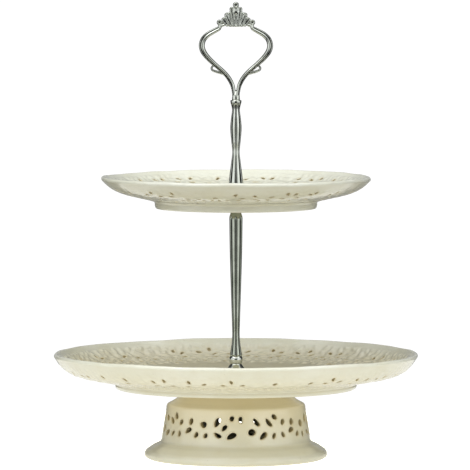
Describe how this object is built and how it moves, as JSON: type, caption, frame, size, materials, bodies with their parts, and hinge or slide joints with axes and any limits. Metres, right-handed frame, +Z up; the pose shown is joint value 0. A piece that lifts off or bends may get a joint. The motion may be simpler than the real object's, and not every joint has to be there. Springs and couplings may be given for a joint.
{
  "type": "tiered cake stand",
  "caption": "Two-tier cake stand with pierced ceramic plates on a pierced pedestal, fluted metal stems and a loop carrying handle; screws apart for storage.",
  "frame": {"origin": "centre of the pedestal's contact ring, on the surface that the stand rests on", "axes": "+Z up along the stems, +X along the handle's loop, +Y to the back"},
  "size_m": [0.2698, 0.2698, 0.3388],
  "materials": {
    "cream_glaze": "glossy clear glaze over cream earthenware",
    "plated_casting": "polished plating over a cast body, darker in the hollows",
    "steel": "bright zinc plated",
    "seal_rubber": "matte",
    "nylon": "milky, slightly translucent",
    "felt": "pressed felt"
  },
  "bodies": {
    "base": {"pedestal": "cream_glaze", "base_rubber_washer": "seal_rubber", "lower_plate_cushion_disc": "felt", "lower_plate_top_washer": "nylon", "lower_stem_foot": "plated_casting", "lower_stem": "plated_casting", "upper_plate_support_washer": "steel", "upper_plate_bottom_washer": "nylon"},
    "lower_plate": {"lower_plate": "cream_glaze"},
    "base_screw_drop": {"base_steel_washer": "steel"},
    "base_screw": {"base_screw": "steel"},
    "upper_plate": {"upper_plate": "cream_glaze", "upper_plate_top_washer": "nylon"},
    "upper_stem_rise": {"upper_stud": "steel"},
    "upper_stem": {"upper_stem": "plated_casting"},
    "handle_rise": {"handle_stud": "steel"},
    "handle": {"handle": "plated_casting"}
  },
  "joints": [
    {"name": "lower_plate_turn", "type": "hinge", "parent": "base", "child": "lower_plate", "pos_m": [0, 0, 0], "axis": [0, 0, 1], "continuous": true},
    {"name": "upper_plate_turn", "type": "hinge", "parent": "base", "child": "upper_plate", "pos_m": [0, 0, 0], "axis": [0, 0, 1], "continuous": true},
    {"name": "base_screw_drop", "type": "slide", "parent": "base", "child": "base_screw_drop", "axis": [0, 0, -1], "range_m": [0, 0.006]},
    {"name": "base_screw_turn", "type": "hinge", "parent": "base_screw_drop", "child": "base_screw", "pos_m": [0, 0, 0], "axis": [0, 0, -1], "range_deg": [0, 3086]},
    {"name": "upper_stem_rise", "type": "slide", "parent": "base", "child": "upper_stem_rise", "axis": [0, 0, 1], "range_m": [0, 0.0125]},
    {"name": "upper_stem_turn", "type": "hinge", "parent": "upper_stem_rise", "child": "upper_stem", "pos_m": [0, 0, 0], "axis": [0, 0, 1], "range_deg": [0, 6429]},
    {"name": "handle_rise", "type": "slide", "parent": "upper_stem", "child": "handle_rise", "axis": [0, 0, 1], "range_m": [0, 0.0075]},
    {"name": "handle_turn", "type": "hinge", "parent": "handle_rise", "child": "handle", "pos_m": [0, 0, 0], "axis": [0, 0, 1], "range_deg": [0, 3858]}
  ],
  "couplings": [
    {"joint": "base_screw_turn", "follows": "base_screw_drop", "rad_per_m": 8976},
    {"joint": "upper_stem_turn", "follows": "upper_stem_rise", "rad_per_m": 8976},
    {"joint": "handle_turn", "follows": "handle_rise", "rad_per_m": 8976}
  ]
}
